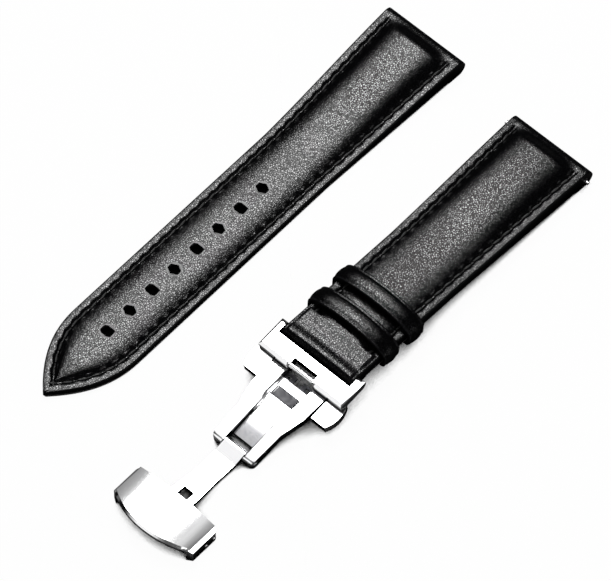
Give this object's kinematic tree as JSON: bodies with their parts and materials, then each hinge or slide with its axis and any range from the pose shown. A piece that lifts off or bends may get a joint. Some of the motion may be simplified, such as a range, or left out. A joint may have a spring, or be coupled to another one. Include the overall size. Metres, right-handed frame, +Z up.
{
  "type": "leather watch strap",
  "caption": "two-piece padded black leather watch strap, pointed tail with adjustment holes, keepers, and an open push-button folding clasp in polished steel",
  "frame": {"origin": "middle of the whole layout's box, on the surface that it lies on", "axes": "+X runs along both straps towards their watch ends, +Y from the clasp's strap to the holed strap, +Z up out of the leather's outer side"},
  "size_m": [0.1341, 0.063, 0.0109],
  "materials": {
    "black_leather": "fine pebbled grain, semi-gloss",
    "lining_leather": "smooth, with painted edges",
    "felt_padding": "pressed felt",
    "black_thread": "waxed thread",
    "polished_steel": "mirror-polished stainless steel",
    "satin_steel": "satin stainless steel",
    "spring_steel": "bare wire"
  },
  "bodies": {
    "straps": {"short_top_leather": "black_leather", "short_padding": "felt_padding", "short_lining": "lining_leather", "short_stitching": "black_thread", "fixed_keeper": "black_leather", "watch_bar_tube": "satin_steel", "watch_bar_spring": "spring_steel", "long_top_leather": "black_leather", "long_padding": "felt_padding", "long_lining": "lining_leather", "long_stitching": "black_thread"},
    "loose_keeper": {"sliding_keeper": "black_leather"},
    "watch_tip_left": {"watch_bar_tip_left": "satin_steel"},
    "watch_tip_right": {"watch_bar_tip_right": "satin_steel"},
    "clasp_frame": {"lug_plate": "polished_steel", "fork_blade": "polished_steel", "catch_bar": "polished_steel", "hinge_pin": "satin_steel", "lug_bar_tube": "satin_steel", "lug_bar_spring": "spring_steel", "pusher_spring_left": "spring_steel", "pusher_spring_right": "spring_steel"},
    "lug_tip_left": {"lug_bar_tip_left": "satin_steel"},
    "lug_tip_right": {"lug_bar_tip_right": "satin_steel"},
    "push_left": {"pusher_left": "polished_steel", "latch_left": "satin_steel"},
    "push_right": {"pusher_right": "polished_steel", "latch_right": "satin_steel"},
    "link": {"link_blade": "polished_steel"},
    "bridge": {"bridge_cover": "polished_steel", "bridge_pin": "satin_steel", "strap_bar": "satin_steel"},
    "prong": {"tang": "satin_steel"}
  },
  "joints": [
    {"name": "keeper_slide", "type": "slide", "parent": "straps", "child": "loose_keeper", "axis": [0.9974, 0, -0.0715], "range_m": [-0.0027, 0.018]},
    {"name": "watch_tip_left_press", "type": "slide", "parent": "straps", "child": "watch_tip_left", "axis": [0, -1, 0], "range_m": [0, 0.0008], "stiffness_N_per_m": 400},
    {"name": "watch_tip_right_press", "type": "slide", "parent": "straps", "child": "watch_tip_right", "axis": [0, 1, 0], "range_m": [0, 0.0008], "stiffness_N_per_m": 400},
    {"name": "clasp_swivel", "type": "hinge", "parent": "straps", "child": "clasp_frame", "pos_m": [-0.0115, -0.0189, 0.00674], "axis": [0, 1, 0], "range_deg": [-60, 50]},
    {"name": "lug_tip_left_press", "type": "slide", "parent": "clasp_frame", "child": "lug_tip_left", "axis": [0, -1, 0], "range_m": [0, 0.0008], "stiffness_N_per_m": 400},
    {"name": "lug_tip_right_press", "type": "slide", "parent": "clasp_frame", "child": "lug_tip_right", "axis": [0, 1, 0], "range_m": [0, 0.0008], "stiffness_N_per_m": 400},
    {"name": "button_left", "type": "slide", "parent": "clasp_frame", "child": "push_left", "axis": [0, -1, 0], "range_m": [0, 0.0004], "stiffness_N_per_m": 400},
    {"name": "button_right", "type": "slide", "parent": "clasp_frame", "child": "push_right", "axis": [0, 1, 0], "range_m": [0, 0.0004], "stiffness_N_per_m": 400},
    {"name": "blade_fold", "type": "hinge", "parent": "clasp_frame", "child": "link", "pos_m": [-0.03822, -0.0189, 0.0014], "axis": [0, 1, 0], "range_deg": [0, 168.1]},
    {"name": "bridge_turn", "type": "hinge", "parent": "link", "child": "bridge", "pos_m": [-0.05711, -0.0189, 0.00095], "axis": [0, 1, 0], "range_deg": [-168.1, 0]},
    {"name": "tang_turn", "type": "hinge", "parent": "bridge", "child": "prong", "pos_m": [-0.05711, -0.0189, 0.00095], "axis": [0, 1, 0], "range_deg": [0, 20]}
  ],
  "couplings": [
    {"joint": "bridge_turn", "follows": "blade_fold", "ratio": -1}
  ]
}
